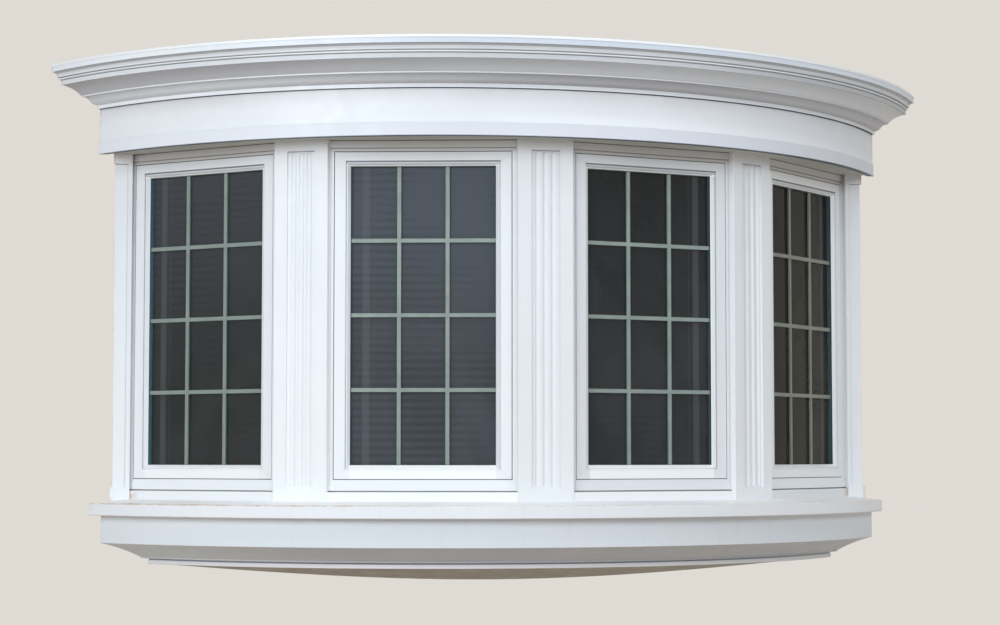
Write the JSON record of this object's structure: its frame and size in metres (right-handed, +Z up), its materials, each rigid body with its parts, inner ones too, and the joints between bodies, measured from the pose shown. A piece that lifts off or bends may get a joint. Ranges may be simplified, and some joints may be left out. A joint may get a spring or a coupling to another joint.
{
  "type": "bow window",
  "caption": "Bow window unit with tall grilled sashes between fluted covers, a moulded crown and frieze, and a moulded sill over a sloped belly.",
  "frame": {"origin": "on the wall face, on the bow's centre line, level with the foot of the skirt board", "axes": "+X to the right along the wall as seen from outside, +Y into the wall towards the room, +Z up"},
  "size_m": [2.94, 0.9505, 1.6898],
  "materials": {
    "white_trim": "satin",
    "white_vinyl": "satin",
    "pane_glass": "gloss",
    "grille_bar": "matte",
    "roof_sheet": "satin",
    "board_white": "painted",
    "belly_paint": "painted",
    "framing_wood": "raw",
    "insulating_core": "matte"
  },
  "bodies": {
    "root": {"base_strips": "white_trim", "bed_moulding": "white_trim", "belly_panel": "belly_paint", "crown_moulding": "white_trim", "end_post_left": "framing_wood", "end_post_right": "framing_wood", "frame_1": "white_vinyl", "frame_2": "white_vinyl", "frame_3": "white_vinyl", "frame_4": "white_vinyl", "frieze_band": "white_trim", "frieze_board": "white_trim", "glass_1": "pane_glass", "glass_2": "pane_glass", "glass_3": "pane_glass", "glass_4": "pane_glass", "grille_1": "grille_bar", "grille_2": "grille_bar", "grille_3": "grille_bar", "grille_4": "grille_bar", "head_board": "board_white", "head_cleat": "framing_wood", "jamb_board_left": "board_white", "jamb_board_right": "board_white", "jamb_cover_left": "white_trim", "jamb_cover_right": "white_trim", "mullion_cover_1": "white_trim", "mullion_cover_2": "white_trim", "mullion_cover_3": "white_trim", "mullion_post_1": "framing_wood", "mullion_post_2": "framing_wood", "mullion_post_3": "framing_wood", "roof_deck": "framing_wood", "roof_sheet": "roof_sheet", "sash_1": "white_vinyl", "sash_2": "white_vinyl", "sash_3": "white_vinyl", "sash_4": "white_vinyl", "seat_board": "board_white", "seat_cleat": "framing_wood", "seat_platform": "insulating_core", "sill_nosing": "white_trim", "skirt_board": "white_trim"}
  },
  "joints": []
}
